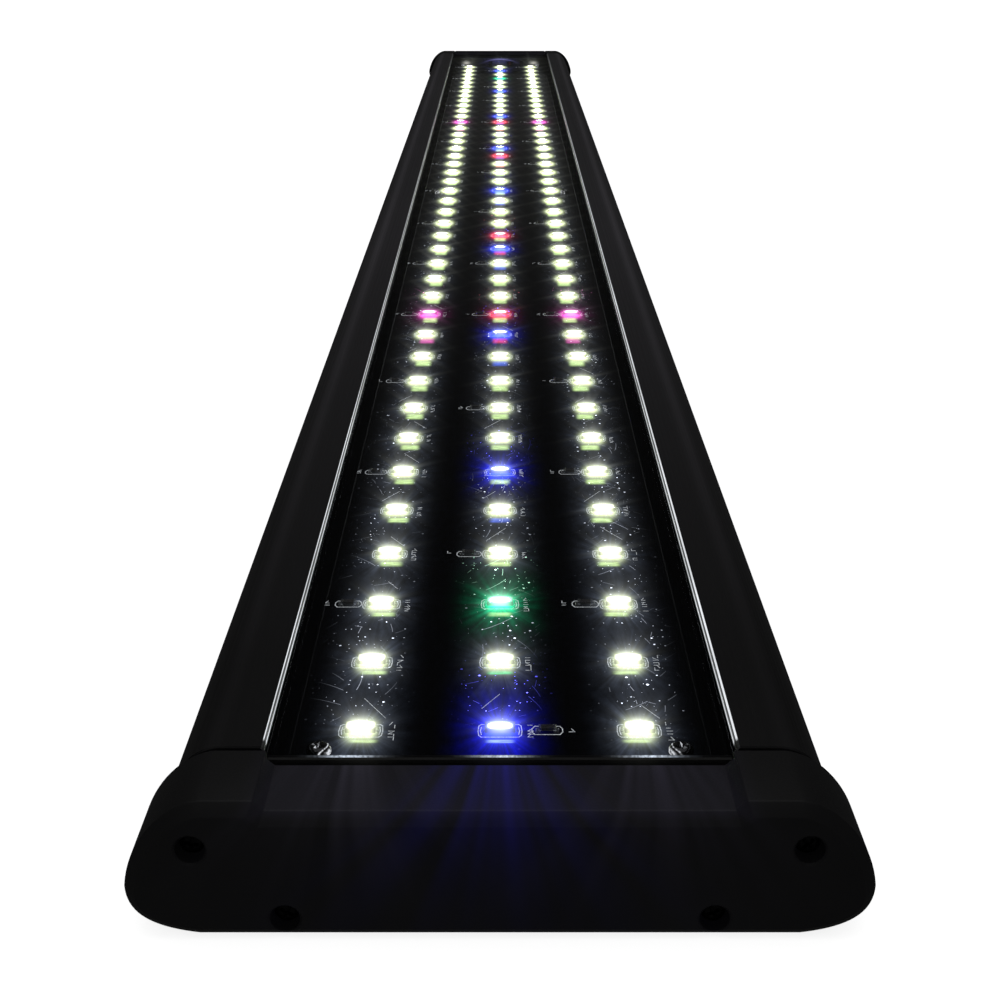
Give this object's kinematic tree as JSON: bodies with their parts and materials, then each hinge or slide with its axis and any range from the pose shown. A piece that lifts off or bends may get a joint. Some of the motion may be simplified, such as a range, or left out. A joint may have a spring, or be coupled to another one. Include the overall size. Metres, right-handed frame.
{
  "type": "led aquarium light",
  "caption": "Slim LED light bar for a long aquarium: black extruded housing with rounded sides, screwed end caps, and a clear window over three rows of coloured emitters.",
  "frame": {"origin": "middle of the bar's back, on the lowest face of the end caps, with the lit side facing up", "axes": "+Y along the bar towards the end with the power inlet and switch, +Z out of the lit side, +X across the bar"},
  "size_m": [0.119, 1.219, 0.0242],
  "materials": {
    "housing": "satin",
    "end_cap": "satin",
    "seal": "matte",
    "clear_cover": "polished",
    "board": "gloss",
    "thermal_pad": "matte",
    "emitter": "satin",
    "resistor": "satin",
    "board_screw": "satin",
    "cap_screw": "satin",
    "nickel": "polished",
    "switch_plastic": "satin",
    "red_lead": "satin",
    "black_lead": "satin"
  },
  "bodies": {
    "housing": {"housing_extrusion": "housing", "end_cap_near": "end_cap", "end_cap_far": "end_cap", "end_gasket_near": "seal", "end_gasket_far": "seal", "clear_cover": "clear_cover", "cover_seal_left": "seal", "cover_seal_right": "seal", "led_board": "board", "thermal_pad": "thermal_pad", "led_row_left": "emitter", "led_row_centre": "emitter", "led_row_right": "emitter", "resistor_row_left": "resistor", "resistor_row_centre": "resistor", "resistor_row_right": "resistor", "resistor_first": "resistor", "board_screw_1": "board_screw", "board_screw_2": "board_screw", "board_screw_3": "board_screw", "board_screw_4": "board_screw", "board_screw_5": "board_screw", "board_screw_6": "board_screw", "cap_screw_near_1": "cap_screw", "cap_screw_near_2": "cap_screw", "cap_screw_near_3": "cap_screw", "cap_screw_near_4": "cap_screw", "cap_screw_far_1": "cap_screw", "cap_screw_far_2": "cap_screw", "cap_screw_far_3": "cap_screw", "cap_screw_far_4": "cap_screw", "dc_jack_body": "switch_plastic", "dc_jack_nut": "nickel", "dc_jack_pin": "nickel", "switch_body": "switch_plastic", "switch_terminal_day": "nickel", "switch_terminal_common": "nickel", "switch_terminal_moon": "nickel", "lead_supply": "red_lead", "lead_return": "black_lead", "lead_day": "red_lead", "lead_moon": "black_lead"},
    "rocker": {"switch_rocker": "switch_plastic"}
  },
  "joints": [
    {"name": "mode_rocker", "type": "hinge", "parent": "housing", "child": "rocker", "pos_m": [0.013, 0.6064, 0.012], "axis": [0, 0, 1], "range_deg": [-12, 12]}
  ]
}
